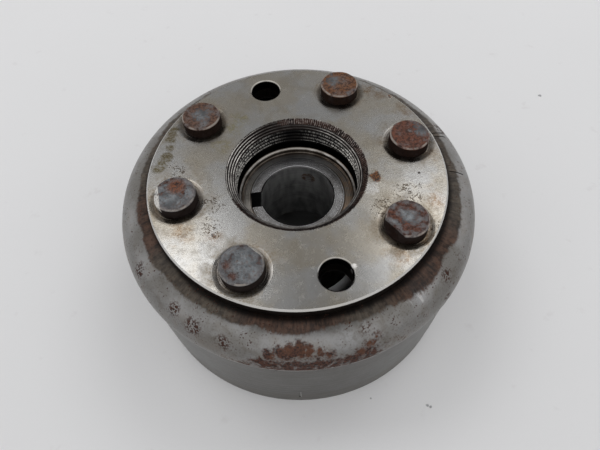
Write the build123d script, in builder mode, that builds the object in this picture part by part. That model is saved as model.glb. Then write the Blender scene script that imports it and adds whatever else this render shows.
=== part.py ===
from build123d import *
from math import cos, radians, sin, tan
import os

# Magneto flywheel of a small engine, in millimetres and degrees.
# The origin is on the crank axis in the plane of the open rim, +Z points to the nut side,
# and -X points to the keyway. Angles turn from +X towards +Y.

# Rotor cup: drawn steel sheet with a rolled shoulder and a machined skirt
cup_height = 35.0  # rim to the outside of the web
web_thickness = 3.0
shoulder_dia = 77.2  # the widest place
shoulder_corner = 7.3  # radius of the rolled shoulder
skirt_dia = 76.4
skirt_top = 27.3
step_bevel = 0.25
rim_band_dia = 76.2  # last turned cut, next to the open rim
rim_band_height = 6.9
rim_chamfer = 0.5
cup_bore_dia = 70.0
cup_clearance = 0.05  # radial, between the web and the hub's spigot

# Hub: flange, threaded recess for the puller and tapered boss
face_height = 37.4  # rim to the flange's face
flange_dia = 62.0
flange_chamfer = 0.35
spigot_dia = 34.0  # centres the cup's web
spigot_bottom = 27.0
boss_dia = 30.0
boss_bottom = 6.5
boss_chamfer = 0.8
neck_fillet = 1.5

# Puller thread, M27 x 1
thread_dia = 27.0
thread_pitch = 1.0
thread_depth_ratio = 0.5413  # flank depth over pitch, 60-degree metric form
thread_mouth_dia = 29.6  # wide end of the bevelled mouth
thread_depth = 5.2  # face to the last full turn
thread_start_angle = 120.0  # where the groove begins, about the crank axis
relief_dia = 27.6  # undercut below the thread
relief_depth = 7.5
recess_dia = 25.0
recess_depth = 8.85
ledge_bevel = 0.4
recess_fillet = 0.45
washer_seat_dia = 20.9
washer_seat_depth = 8.65

# Crank taper and its keyway
taper_small_dia = 16.0
taper_ratio = 5.0  # one in five on the diameter
taper_break = 0.3
keyway_width = 4.0
keyway_depth = 2.4  # from the taper's wall, all along it

# Rivets and tool holes, all on one circle about the crank axis
rivet_circle_dia = 50.0
pattern_angle = 9.2  # middle rivet of one group of three
rivet_spacing = 50.0  # between the rivets of a group
rivet_shank_dia = 5.0
rivet_clearance = 0.02
spotface_dia = 11.2
spotface_depth = 0.4
rivet_head_dia = 8.4
rivet_head_proud = 2.5  # above the flange's face
rivet_head_chamfer = 0.3
formed_head_dia = 8.6
formed_head_height = 2.0
formed_head_round = 1.2
tool_hole_dia = 6.5
tool_hole_bevel = 0.3

# Magnets, the pieces that hold them apart, and their thin steel liner
magnet_count = 6
magnet_span = 52.0
magnet_first_angle = 39.2
magnet_bottom = 4.0
magnet_height = 22.0
magnet_thickness = 6.5
magnet_bond = 0.1  # adhesive line between a magnet and the cup
magnet_bevel = 0.6
spacer_gap = 0.3  # angle between a spacer and each neighbouring magnet
spacer_bevel = 0.3
liner_thickness = 0.4
liner_clearance = 0.05
liner_lip_gap = 0.35  # below the magnets, room for the liner's bend
liner_lip_dia = 59.6
liner_bend = 0.7
liner_top = 26.6
backing_inner_dia = 59.6
backing_clearance = 0.1
bead_size = 1.8
bead_face_r = 2.2  # hollow of the bead's open face

# Scribed marks
timing_mark_angles = (-6.1, 11.6, 13.5)
timing_mark_start = 54.0  # angles on the shoulder's corner, from horizontal
timing_mark_sweep = 27.0
rim_mark_angle = -98.0
rim_mark_bottom = 3.8
rim_mark_top = 9.2
mark_width_angle = 0.45
mark_depth = 0.25

# Worked out from the dimensions above
web_inside = cup_height - web_thickness
shoulder_r = shoulder_dia / 2
skirt_r = skirt_dia / 2
cup_bore_r = cup_bore_dia / 2
inner_corner = shoulder_corner - (shoulder_r - cup_bore_r)
web_hole_r = spigot_dia / 2 + cup_clearance
thread_r = thread_dia / 2
thread_flank_depth = thread_depth_ratio * thread_pitch
thread_minor_r = thread_r - thread_flank_depth
thread_mouth_r = thread_mouth_dia / 2
washer_seat_z = face_height - washer_seat_depth
taper_small_r = taper_small_dia / 2
taper_slope = 0.5 / taper_ratio
rivet_hole_dia = rivet_shank_dia + 2 * rivet_clearance
rivet_seat_z = face_height - spotface_depth
rivet_angles = [
    pattern_angle + side + step * rivet_spacing for side in (0, 180) for step in (-1, 0, 1)
]
magnet_outer_r = cup_bore_r - magnet_bond
magnet_inner_r = magnet_outer_r - magnet_thickness
magnet_pitch = 360 / magnet_count
magnet_top = magnet_bottom + magnet_height


def taper_r(z):
    """Radius of the crank taper at a height above the rim."""
    return taper_small_r + (washer_seat_z - z) * taper_slope


def radial_plane(angle):
    """The plane through the crank axis at an angle, with its own x outwards and its y up."""
    a = radians(angle)
    return Plane(origin=(0, 0, 0), x_dir=(cos(a), sin(a), 0), z_dir=(sin(a), -cos(a), 0))


def on_rivet_circle(angle):
    """A place on the rivet circle, in the plane of the rim."""
    r = rivet_circle_dia / 2
    return (r * cos(radians(angle)), r * sin(radians(angle)))


rivet_places = [on_rivet_circle(angle) for angle in rivet_angles]
tool_hole_places = [on_rivet_circle(pattern_angle + side) for side in (90, 270)]

os.makedirs("parts", exist_ok=True)

# The cup is revolved from its section, then its web is drilled and its shoulder is scribed
with BuildPart() as rotor_cup:
    with BuildSketch(Plane.XZ):
        with BuildLine():
            Polyline(
                (web_hole_r, web_inside),
                (web_hole_r, cup_height),
                (shoulder_r - shoulder_corner, cup_height),
            )
            TangentArc(
                (shoulder_r - shoulder_corner, cup_height),
                (shoulder_r, cup_height - shoulder_corner),
                tangent=(1, 0),
            )
            Polyline(
                (shoulder_r, cup_height - shoulder_corner),
                (shoulder_r, skirt_top + step_bevel),
                (skirt_r, skirt_top),
                (skirt_r, rim_band_height),
                (rim_band_dia / 2, rim_band_height - step_bevel),
                (rim_band_dia / 2, rim_chamfer),
                (rim_band_dia / 2 - rim_chamfer, 0),
                (cup_bore_r + rim_chamfer, 0),
                (cup_bore_r, rim_chamfer),
                (cup_bore_r, web_inside - inner_corner),
            )
            TangentArc(
                (cup_bore_r, web_inside - inner_corner),
                (cup_bore_r - inner_corner, web_inside),
                tangent=(0, 1),
            )
            Line((cup_bore_r - inner_corner, web_inside), (web_hole_r, web_inside))
        make_face()
    revolve(axis=Axis.Z)
    with Locations(Plane.XY.offset(cup_height)):
        with Locations(*rivet_places):
            Hole(rivet_hole_dia / 2, depth=web_thickness)
        with Locations(*tool_hole_places):
            Hole(tool_hole_dia / 2, depth=web_thickness)
    # timing marks follow the shoulder's round corner
    corner_centre = (shoulder_r - shoulder_corner, cup_height - shoulder_corner)
    for angle in timing_mark_angles:
        with BuildSketch(radial_plane(angle)):
            with BuildLine():
                outside = CenterArc(
                    corner_centre,
                    shoulder_corner + mark_depth,
                    timing_mark_start,
                    timing_mark_sweep,
                )
                bottom = CenterArc(
                    corner_centre,
                    shoulder_corner - mark_depth,
                    timing_mark_start,
                    timing_mark_sweep,
                )
                Line(outside @ 0, bottom @ 0)
                Line(outside @ 1, bottom @ 1)
            make_face()
        revolve(axis=Axis.Z, revolution_arc=mark_width_angle, mode=Mode.SUBTRACT)
    # one short upright mark crosses the edge of the rim band
    with BuildSketch(radial_plane(rim_mark_angle)):
        with Locations((skirt_r, (rim_mark_bottom + rim_mark_top) / 2)):
            Rectangle(2 * mark_depth, rim_mark_top - rim_mark_bottom)
    revolve(axis=Axis.Z, revolution_arc=mark_width_angle, mode=Mode.SUBTRACT)
rotor_cup.part.label = "rotor_cup"
export_step(rotor_cup.part, "parts/rotor_cup.step")

# The thread groove is a flat-topped V swept along a helix, from the relief out past the mouth
groove_start = face_height - thread_depth - thread_pitch / 2
groove_end = face_height - (thread_mouth_r - thread_r) + thread_pitch / 2
thread_half_angle = 30
root_half_width = thread_pitch / 16
flank_slope = tan(radians(thread_half_angle))
groove_overshoot = 0.1  # the cutter reaches past the thread's crest
with BuildPart() as thread_groove:
    with BuildLine() as groove_path:
        Helix(
            pitch=thread_pitch,
            height=groove_end - groove_start,
            radius=thread_minor_r,
            center=(0, 0, groove_start),
        )
    path_start = groove_path.line @ 0
    path_tangent = groove_path.line % 0
    open_half_width = root_half_width + (thread_flank_depth + groove_overshoot) * flank_slope
    with BuildSketch(Plane(origin=path_start, x_dir=(1, 0, 0), z_dir=path_tangent)):
        Polygon(
            (-groove_overshoot, -open_half_width),
            (thread_flank_depth, -root_half_width),
            (thread_flank_depth, root_half_width),
            (-groove_overshoot, open_half_width),
            align=None,
        )
    sweep(is_frenet=True)

# The hub is revolved from its section, then threaded, key-slotted and drilled
recess_r = recess_dia / 2
recess_floor_z = face_height - recess_depth
ledge_z = face_height - relief_depth
relief_top_z = face_height - thread_depth
boss_r = boss_dia / 2
keyway_low = boss_bottom - 1  # the keyway's cutter runs out at both ends of the taper
keyway_high = washer_seat_z + 1
with BuildPart() as hub:
    with BuildSketch(Plane.XZ):
        with BuildLine():
            Polyline(
                (thread_minor_r, face_height - (thread_mouth_r - thread_minor_r)),
                (thread_mouth_r, face_height),
                (flange_dia / 2 - flange_chamfer, face_height),
                (flange_dia / 2, face_height - flange_chamfer),
                (flange_dia / 2, cup_height),
                (spigot_dia / 2, cup_height),
                (spigot_dia / 2, spigot_bottom),
                (boss_r + neck_fillet, spigot_bottom),
            )
            TangentArc(
                (boss_r + neck_fillet, spigot_bottom),
                (boss_r, spigot_bottom - neck_fillet),
                tangent=(-1, 0),
            )
            Polyline(
                (boss_r, spigot_bottom - neck_fillet),
                (boss_r, boss_bottom + boss_chamfer),
                (boss_r - boss_chamfer, boss_bottom),
                (taper_r(boss_bottom) + taper_break, boss_bottom),
                (taper_r(boss_bottom + taper_break), boss_bottom + taper_break),
                (taper_r(washer_seat_z - taper_break), washer_seat_z - taper_break),
                (taper_small_r + taper_break, washer_seat_z),
                (washer_seat_dia / 2, washer_seat_z),
                (washer_seat_dia / 2, recess_floor_z),
                (recess_r - recess_fillet, recess_floor_z),
            )
            TangentArc(
                (recess_r - recess_fillet, recess_floor_z),
                (recess_r, recess_floor_z + recess_fillet),
                tangent=(1, 0),
            )
            Polyline(
                (recess_r, recess_floor_z + recess_fillet),
                (recess_r, ledge_z - ledge_bevel),
                (recess_r + ledge_bevel, ledge_z),
                (relief_dia / 2, ledge_z),
                (relief_dia / 2, relief_top_z),
                (thread_minor_r, relief_top_z),
                (thread_minor_r, face_height - (thread_mouth_r - thread_minor_r)),
            )
        make_face()
    revolve(axis=Axis.Z)
    add(thread_groove.part, rotation=(0, 0, thread_start_angle), mode=Mode.SUBTRACT)
    with BuildSketch(Plane.XZ):
        with BuildLine():
            Polyline(
                (0, keyway_low),
                (0, keyway_high),
                (-taper_r(keyway_high) - keyway_depth, keyway_high),
                (-taper_r(keyway_low) - keyway_depth, keyway_low),
                close=True,
            )
        make_face()
    extrude(amount=keyway_width / 2, both=True, mode=Mode.SUBTRACT)
    with Locations(Plane.XY.offset(face_height)):
        with Locations(*rivet_places):
            CounterBoreHole(rivet_hole_dia / 2, spotface_dia / 2, spotface_depth)
        with Locations(*tool_hole_places):
            CounterSinkHole(
                tool_hole_dia / 2, tool_hole_dia / 2 + tool_hole_bevel, counter_sink_angle=90
            )
hub.part.label = "hub"
export_step(hub.part, "parts/hub.step")


def make_rivet(name, place):
    """A rivet: flat head in its spotface, shank through both plates, rounded formed head inside."""
    x, y = place
    with BuildPart() as rivet:
        with BuildSketch(Plane((x, y, rivet_seat_z))):
            Circle(rivet_head_dia / 2)
        extrude(amount=spotface_depth + rivet_head_proud)
        chamfer(rivet.edges().group_by(Axis.Z)[-1], rivet_head_chamfer)
        with BuildSketch(Plane((x, y, web_inside))):
            Circle(rivet_shank_dia / 2)
        extrude(amount=rivet_seat_z - web_inside)
        with BuildSketch(Plane((x, y, web_inside))):
            Circle(formed_head_dia / 2)
        extrude(amount=-formed_head_height)
        fillet(rivet.edges().group_by(Axis.Z)[0], formed_head_round)
    rivet.part.label = name
    export_step(rivet.part, f"parts/{name}.step")


for number, place in enumerate(rivet_places, start=1):
    make_rivet(f"rivet_{number}", place)


def make_arc_block(name, middle_angle, span, bevel):
    """A block between the magnets' two radii, with its upright edges bevelled."""
    with BuildPart() as block:
        with BuildSketch(Plane.XY.offset(magnet_bottom)):
            with BuildLine():
                outer = CenterArc((0, 0), magnet_outer_r, middle_angle - span / 2, span)
                inner = CenterArc((0, 0), magnet_inner_r, middle_angle - span / 2, span)
                Line(outer @ 0, inner @ 0)
                Line(outer @ 1, inner @ 1)
            make_face()
        extrude(amount=magnet_height)
        chamfer(block.edges().filter_by(Axis.Z), bevel)
    block.part.label = name
    export_step(block.part, f"parts/{name}.step")


spacer_span = magnet_pitch - magnet_span - 2 * spacer_gap
for number in range(1, magnet_count + 1):
    magnet_angle = magnet_first_angle + (number - 1) * magnet_pitch
    make_arc_block(f"magnet_{number}", magnet_angle, magnet_span, magnet_bevel)
    make_arc_block(
        f"magnet_spacer_{number}", magnet_angle + magnet_pitch / 2, spacer_span, spacer_bevel
    )

# The liner is a thin sheet sleeve with a lip turned out under the magnets' lower ends
liner_outer_r = magnet_inner_r - liner_clearance
liner_inner_r = liner_outer_r - liner_thickness
lip_top = magnet_bottom - liner_lip_gap
lip_bottom = lip_top - liner_thickness
inner_bend = liner_bend - liner_thickness
with BuildPart() as magnet_liner:
    with BuildSketch(Plane.XZ):
        with BuildLine():
            Polyline(
                (liner_inner_r, lip_bottom + liner_bend),
                (liner_inner_r, liner_top),
                (liner_outer_r, liner_top),
                (liner_outer_r, lip_top + inner_bend),
            )
            TangentArc(
                (liner_outer_r, lip_top + inner_bend),
                (liner_outer_r + inner_bend, lip_top),
                tangent=(0, -1),
            )
            Polyline(
                (liner_outer_r + inner_bend, lip_top),
                (liner_lip_dia / 2, lip_top),
                (liner_lip_dia / 2, lip_bottom),
                (liner_inner_r + liner_bend, lip_bottom),
            )
            TangentArc(
                (liner_inner_r + liner_bend, lip_bottom),
                (liner_inner_r, lip_bottom + liner_bend),
                tangent=(-1, 0),
            )
        make_face()
    revolve(axis=Axis.Z)
magnet_liner.part.label = "magnet_liner"
export_step(magnet_liner.part, "parts/magnet_liner.step")

# The backing ring fills the cup's inside corner above the magnets, clear of the formed rivet heads
backing_r = cup_bore_r - backing_clearance
backing_top = web_inside - backing_clearance
with BuildPart() as backing_ring:
    with BuildSketch(Plane.XZ):
        with BuildLine():
            Polyline(
                (backing_r - inner_corner, backing_top),
                (backing_inner_dia / 2, backing_top),
                (backing_inner_dia / 2, magnet_top),
                (backing_r, magnet_top),
                (backing_r, backing_top - inner_corner),
            )
            TangentArc(
                (backing_r, backing_top - inner_corner),
                (backing_r - inner_corner, backing_top),
                tangent=(0, 1),
            )
        make_face()
    revolve(axis=Axis.Z)
backing_ring.part.label = "backing_ring"
export_step(backing_ring.part, "parts/backing_ring.step")

# A bead of cured resin seals the corner between the magnets' lower ends and the skirt
with BuildPart() as resin_bead:
    with BuildSketch(Plane.XZ):
        with BuildLine():
            Polyline(
                (cup_bore_r, magnet_bottom - bead_size),
                (cup_bore_r, magnet_bottom),
                (cup_bore_r - bead_size, magnet_bottom),
            )
            RadiusArc(
                (cup_bore_r - bead_size, magnet_bottom),
                (cup_bore_r, magnet_bottom - bead_size),
                bead_face_r,
            )
        make_face()
    revolve(axis=Axis.Z)
resin_bead.part.label = "resin_bead"
export_step(resin_bead.part, "parts/resin_bead.step")
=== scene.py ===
import math

import bmesh
import bpy
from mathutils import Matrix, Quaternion, Vector, noise


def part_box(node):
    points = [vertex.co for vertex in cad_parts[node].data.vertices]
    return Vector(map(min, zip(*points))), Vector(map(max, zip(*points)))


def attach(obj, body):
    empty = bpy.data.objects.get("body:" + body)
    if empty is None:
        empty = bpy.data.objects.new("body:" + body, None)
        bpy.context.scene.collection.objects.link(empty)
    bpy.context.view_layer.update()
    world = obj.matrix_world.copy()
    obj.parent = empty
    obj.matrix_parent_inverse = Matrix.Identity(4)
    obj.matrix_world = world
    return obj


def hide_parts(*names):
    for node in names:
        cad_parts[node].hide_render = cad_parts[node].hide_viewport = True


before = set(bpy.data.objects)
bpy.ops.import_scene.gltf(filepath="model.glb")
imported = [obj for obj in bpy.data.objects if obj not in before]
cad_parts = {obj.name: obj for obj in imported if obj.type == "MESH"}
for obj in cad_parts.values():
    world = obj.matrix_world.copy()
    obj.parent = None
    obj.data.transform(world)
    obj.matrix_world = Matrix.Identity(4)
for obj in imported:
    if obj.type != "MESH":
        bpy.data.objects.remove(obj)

# The magneto flywheel stands on its open rim, nut side up. Meshes are in metres, in the row frame.
# The trees of the materials work in millimetres.
MM = 1000.0

scene = bpy.context.scene
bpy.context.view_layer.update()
hub_low, hub_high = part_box("hub")
cup_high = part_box("rotor_cup")[1]
RIVETS = [f"rivet_{number}" for number in range(1, 7)]

# Heights and radii on the hub and the cup, in millimetres
FACE_Z = hub_high.z * MM  # the flange's face
FLANGE_R = hub_high.x * MM
BOSS_BOTTOM = hub_low.z * MM
WEB_Z = cup_high.z * MM  # the cup's flat top, under the flange
SHOULDER_R = cup_high.x * MM
SHOULDER_CORNER = 7.3  # the shoulder's rounding
SKIRT_TOP = 27.3  # the step between shoulder and skirt
BAND_TOP = 6.9  # top of the browner band at the open rim
MOUTH_R = 14.8  # the thread's bevelled mouth, where it meets the face
THREAD_CREST_R = 12.96
THREAD_BOTTOM = 32.2
LEDGE_Z = 29.9  # the turned ledge round the washer's seat
LEDGE_R = 12.5
SEAT_Z = 28.75  # the washer's seat
SEAT_R = 10.45
TAPER_R = 8.0  # the taper at the seat, where it is narrowest
TAPER_SLOPE = 0.1  # how fast its radius grows towards the open rim
SPOTFACE_R = 5.6
SPOTFACE_Z = FACE_Z - 0.4
RIVET_TOP = FACE_Z + 2.5
TOOL_HOLE_R = 3.25
TOOL_HOLE_CIRCLE = 25.0
TOOL_HOLE_ANGLES = (99.2, 279.2)  # in degrees
RIM_MARK_ANGLE = -97.4  # direction of the short mark near the open rim, in degrees
RIM_MARK_Z = (3.8, 8.8)

# Wear on the rivet heads, the mouth and the spotfaces, in millimetres
DISH_R = 4.0
DISH_DEPTH = 0.07
THREADED_TO = 150.0  # direction in which the mouth still shows the thread, in degrees
TURN_STEP = 0.42  # between the crests on the mouth's bevel, along the radius
TURN_DEPTH = 0.11
RIDGES = 190  # torn ridges round the mouth
RIDGE_DEPTH = 0.34
CHATTER_STEP = 0.42  # between the cutter's marks on the spotfaces
CHATTER_DEPTH = 0.05
WORN_FLOOR = FACE_Z - 0.13  # the spotfaces' worn floors
SHARP_FROM = math.radians(38)  # edges of the added pieces sharper than this stay sharp

# The stage. Lengths are in metres, apart from the lens.
FLOOR_R = 1.5
PANEL_HEIGHT = 1.0  # above the floor
# Light panels: the name, the edges in x and in y, and the radiance
PANELS = (
    ("back_left", (-0.80, -0.13), (0.20, 0.63), 2.6),
    ("back_right", (0.27, 0.90), (0.20, 0.66), 2.3),
)
WALL_GLOW = 0.84
CAMERA_PLACE = (-0.0061, -0.0611, 0.1143)
CAMERA_AIM = (0.0, -0.0026, 0.0200)
CAMERA_ROLL = -2.22  # in degrees
LENS = 28.26  # focal length in millimetres, for a picture 36 mm wide


class Finish:
    """The node tree of one procedural material. Each method adds nodes and returns the socket
    that carries the result. Lengths are millimetres in the row frame."""

    def __init__(self, name):
        self.material = bpy.data.materials.new(name)
        self.material.use_nodes = True
        self.tree = self.material.node_tree
        self.tree.nodes.clear()
        coordinates = self.add("ShaderNodeTexCoord")
        scaled = self.add("ShaderNodeVectorMath", coordinates.outputs["Object"], operation="SCALE")
        scaled.inputs["Scale"].default_value = MM
        self.place = scaled.outputs[0]
        self.x, self.y, self.z = self.add("ShaderNodeSeparateXYZ", self.place).outputs
        self.flat = self.vector(self.x, self.y, 0.0)
        self.radius = self.length(self.flat)

    def add(self, kind, *inputs, **settings):
        """A node with its settings and its first inputs filled by sockets or plain values."""
        node = self.tree.nodes.new(kind)
        for name, value in settings.items():
            setattr(node, name, value)
        for socket, value in zip(node.inputs, inputs):
            self.feed(socket, value)
        return node

    def feed(self, socket, value):
        if isinstance(value, bpy.types.NodeSocket):
            self.tree.links.new(value, socket)
        elif value is not None:
            socket.default_value = value

    def math(self, operation, *inputs):
        return self.add("ShaderNodeMath", *inputs, operation=operation).outputs[0]

    def plus(self, *values):
        result = values[0]
        for value in values[1:]:
            result = self.math("ADD", result, value)
        return result

    def times(self, *values):
        result = values[0]
        for value in values[1:]:
            result = self.math("MULTIPLY", result, value)
        return result

    def most(self, *values):
        result = values[0]
        for value in values[1:]:
            result = self.math("MAXIMUM", result, value)
        return result

    def less(self, value):
        """1 less the value."""
        return self.math("SUBTRACT", 1.0, value)

    def vector(self, x, y, z):
        return self.add("ShaderNodeCombineXYZ", x, y, z).outputs[0]

    def length(self, vector):
        return self.add("ShaderNodeVectorMath", vector, operation="LENGTH").outputs["Value"]

    def step(self, value, start, end):
        """A smooth step from 0 at start to 1 at end, whichever is larger."""
        node = self.add("ShaderNodeMapRange", value, start, end, interpolation_type="SMOOTHSTEP")
        return node.outputs[0]

    def between(self, value, low, high, soft):
        """1 between low and high, falling to 0 within soft outside them."""
        rise = self.step(value, low - soft, low)
        return self.times(rise, self.step(value, high + soft, high))

    def grain(self, size, detail=2.0, rough=0.5, place=None, bend=0.0):
        """Soft noise from 0 to 1 whose features are about size across."""
        node = self.add("ShaderNodeTexNoise", place or self.place, noise_dimensions="3D")
        node.inputs["Scale"].default_value = 1.0 / size
        node.inputs["Detail"].default_value = detail
        node.inputs["Roughness"].default_value = rough
        node.inputs["Distortion"].default_value = bend
        return node.outputs["Fac"]

    def lines(self, along, size, detail=2.0):
        """Noise that changes along one value only, as the marks of a lathe tool do."""
        scaled = self.times(along, 1.0 / size)
        node = self.add("ShaderNodeTexNoise", noise_dimensions="1D")
        self.feed(node.inputs["W"], scaled)
        node.inputs["Scale"].default_value = 1.0
        node.inputs["Detail"].default_value = detail
        return node.outputs["Fac"]

    def streaks(self, width, length, along):
        """Noise drawn out along one value and narrow round the crank axis, with no seam."""
        round_x = self.math("DIVIDE", self.x, self.radius)
        round_y = self.math("DIVIDE", self.y, self.radius)
        turn = FLANGE_R / width
        place = self.vector(
            self.times(round_x, turn), self.times(round_y, turn), self.times(along, 1.0 / length)
        )
        return self.grain(1.0, 2.0, 0.6, place)

    def away_from(self, place):
        """Distance from a place: in the plan for (x, y), in space for (x, y, z)."""
        here, there = (self.flat, (*place, 0.0)) if len(place) == 2 else (self.place, place)
        return self.add("ShaderNodeVectorMath", here, there, operation="DISTANCE").outputs["Value"]

    def spot(self, place, size, soft, ragged=None, reach=0.0):
        """A patch: 1 inside size, 0 outside, its edge moved by ragged times reach."""
        distance = self.away_from(place)
        if ragged is not None:
            shift = self.times(self.math("SUBTRACT", ragged, 0.5), 2.0 * reach)
            distance = self.plus(distance, shift)
        return self.step(distance, size + soft, size - soft)

    def along(self, place, degrees):
        """Distance from a place in the plan, measured in one direction."""
        x, y = polar(1.0, degrees)
        start = place[0] * x + place[1] * y
        return self.math("SUBTRACT", self.plus(self.times(self.x, x), self.times(self.y, y)), start)

    def facing(self, degrees, start, end):
        """A smooth step on the cosine of the angle from one direction round the crank axis."""
        share = self.math("DIVIDE", self.along((0.0, 0.0), degrees), self.radius)
        return self.step(share, start, end)

    def mix(self, share, first, second):
        """A colour between two colours."""
        node = self.add("ShaderNodeMix", data_type="RGBA")
        self.feed(node.inputs[0], share)
        self.feed(node.inputs[6], first if not isinstance(first, tuple) else (*first, 1.0))
        self.feed(node.inputs[7], second if not isinstance(second, tuple) else (*second, 1.0))
        return node.outputs[2]

    def blend(self, share, first, second):
        """A number between two numbers."""
        node = self.add("ShaderNodeMix", data_type="FLOAT")
        self.feed(node.inputs[0], share)
        self.feed(node.inputs[2], first)
        self.feed(node.inputs[3], second)
        return node.outputs[0]

    def tint(self, share, colour, by):
        """A colour multiplied by another one, by a share."""
        node = self.add("ShaderNodeMix", data_type="RGBA", blend_type="MULTIPLY")
        self.feed(node.inputs[0], share)
        self.feed(node.inputs[6], colour)
        self.feed(node.inputs[7], (*by, 1.0))
        return node.outputs[2]

    def finish(self, colour, rough, metal, height, shine=0.5):
        """Closes the tree. Height is in millimetres. Returns the material."""
        bump = self.add("ShaderNodeBump")
        bump.inputs["Distance"].default_value = 1.0 / MM
        self.feed(bump.inputs["Height"], height)
        surface = self.add("ShaderNodeBsdfPrincipled")
        self.feed(surface.inputs["Base Color"], colour)
        self.feed(surface.inputs["Roughness"], rough)
        self.feed(surface.inputs["Metallic"], metal)
        self.feed(surface.inputs["Specular IOR Level"], shine)
        self.tree.links.new(bump.outputs[0], surface.inputs["Normal"])
        out = self.add("ShaderNodeOutputMaterial")
        self.tree.links.new(surface.outputs[0], out.inputs["Surface"])
        return self.material


def polar(radius, degrees):
    """A place in the plan, in the units of radius."""
    angle = math.radians(degrees)
    return (radius * math.cos(angle), radius * math.sin(angle))


def centre_of(node):
    """A node's centre in the plan, in metres."""
    low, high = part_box(node)
    return ((low.x + high.x) / 2, (low.y + high.y) / 2)


RIVET_PLACES = [tuple(MM * c for c in centre_of(name)) for name in RIVETS]
# How far the dirt spreads round each rivet, from 0 to 1
RIVET_DIRT = (0.8, 0.5, 0.2, 0.3, 0.8, 0.6)
# The brightest colour of four kinds of rust
DULL_RUST = (0.17, 0.062, 0.036)
BROWN_RUST = (0.16, 0.085, 0.055)
ORANGE_RUST = (0.23, 0.074, 0.026)
EARTH_RUST = (0.20, 0.085, 0.034)
# For each rivet the noise below which it rusts, how soft its patches are, the kind of rust, and the
# share of rust round its rim
RIVET_RUST = (
    (0.50, 0.07, DULL_RUST, 0.5),
    (0.58, 0.07, DULL_RUST, 0.4),
    (0.56, 0.08, EARTH_RUST, 0.6),
    (0.56, 0.08, BROWN_RUST, 1.0),
    (0.43, 0.06, ORANGE_RUST, 0.3),
    (0.43, 0.06, DULL_RUST, 0.2),
)
# Placed patches on the heads: the rivet's number, the place from its centre, the size, and 1.0 for
# rust or 0.0 for bare steel
RIVET_PATCHES = (
    (1, (0.4, 0.2), 1.3, 0.0),
    (2, (3.0, 1.0), 1.6, 0.0),
    (3, (-1.2, 1.2), 1.3, 0.0),
    (3, (0.6, -1.2), 1.5, 1.0),
    (4, (0.2, 0.2), 1.7, 0.0),
    (5, (0.4, 1.6), 1.8, 1.0),
    (5, (-1.2, -1.6), 1.6, 0.0),
    (6, (0.7, 0.5), 2.0, 0.0),
    (6, (-2.6, 0.0), 0.7, 1.0),
    (6, (-1.6, -2.2), 0.6, 1.0),
)
# Flats knocked into the heads' rims: the rivet's number, the direction, the distance from its centre
# where the flat starts, its slope, and whether it is bright
RIVET_FLATS = (
    (1, 212.0, 3.15, 2.6, False),
    (5, 186.0, 3.00, 0.9, True),
    (6, 42.0, 3.50, 1.3, True),
)

# Dark grit on the flange's face: places (x, y) and how far each spreads
GRIT = (
    ((-17.8, -6.4), 3.2),
    ((-18.4, -11.5), 2.6),
    ((-24.5, 3.6), 2.6),
    ((-29.0, -3.5), 1.6),
    ((15.2, -11.5), 3.2),
    ((21.5, -9.0), 3.6),
    ((25.2, -18.8), 3.2),
    ((16.5, -19.5), 2.2),
    ((-16.5, 16.0), 2.2),
)
# The run of olive scale along the flange's left edge: places (x, y) and sizes
OLIVE_RUN = (
    ((-25.2, 15.3), 0.7),
    ((-25.8, 13.9), 0.9),
    ((-26.0, 12.4), 1.1),
    ((-26.7, 10.2), 1.0),
    ((-26.8, 7.7), 1.5),
    ((-28.0, 6.2), 1.0),
    ((-28.7, 4.6), 1.2),
)
# The faint yellowish run beside the mouth
PALE_RUN = ((-10.9, 16.6), (-12.4, 13.9), (-15.0, 9.0))
# Brown haze on the face: places (x, y) and sizes
BROWN_HAZE = (
    ((21.5, 19.0), 1.2),
    ((26.6, 13.0), 1.6),
    ((28.3, 0.3), 1.0),
    ((20.0, 21.6), 1.0),
    ((26.2, -11.6), 1.6),
    ((22.6, -19.6), 1.5),
    ((16.4, -22.4), 1.3),
    ((-17.8, -13.6), 0.8),
    ((-12.0, -20.5), 1.0),
    ((-24.0, -12.0), 1.4),
)
# Rust spots on the face: places and sizes. One lies on the mouth's edge, one near the flange's edge
# and one between two rivets.
FACE_RUST = ((polar(16.2, -14.4), 1.25), (polar(30.3, 37.5), 0.5), (polar(22.4, -142.6), 0.25))
PINHOLE = polar(25.2, -10.3)
# A rubbed place on the mouth's edge, brightened as painted glare, and a painted glint on the near tool
# hole's edge
RUBBED_MOUTH_GLARE = polar(15.9, -25.5)
NEAR_HOLE_GLINT = (7.4, -23.6)
# Clusters of rust specks on the cup's shoulder: places (x, y, z) and sizes
SHOULDER_SPECKS = (
    ((-17.8, -32.6, 32.0), 1.3),
    ((7.7, -34.2, 34.0), 1.0),
    ((-33.2, -15.9, 32.4), 1.5),
    ((-26.3, -25.2, 32.9), 1.3),
    ((-23.2, -28.9, 32.2), 1.6),
    ((25.1, -26.0, 33.2), 1.3),
    ((25.3, -28.8, 29.7), 0.8),
    ((34.0, 10.0, 33.0), 1.8),
)
# Painted sheen spots on the shoulder: places (x, y, z) and sizes, and the painted bright streak in the
# last of them
SHEEN_SPOTS = (((4.3, -35.4, 33.5), 2.0), ((-13.4, -30.8, 34.6), 1.6), ((18.8, -29.2, 34.1), 2.2))
BRIGHT_STREAK = (17.9, -29.8, 34.1)
# The two rust patches on the front of the shoulder: direction, height and size of each part
FRONT_RUST_PARTS = (
    (-105.0, 31.8, 0.9),
    (-102.0, 32.4, 1.3),
    (-99.4, 32.7, 1.5),
    (-96.8, 32.9, 1.6),
    (-94.3, 32.6, 1.3),
    (-91.8, 32.4, 1.1),
    (-89.0, 31.7, 0.8),
    (-80.0, 30.9, 1.0),
    (-77.5, 31.8, 1.1),
    (-75.0, 32.6, 0.7),
)
# The brown stain on the taper's wall
STAIN = (3.5, 7.6, 24.4)
# Painted shade on the sheet under the bore, seen through it
SHADE_UNDER_BORE = (2.0, 15.0)
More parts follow.
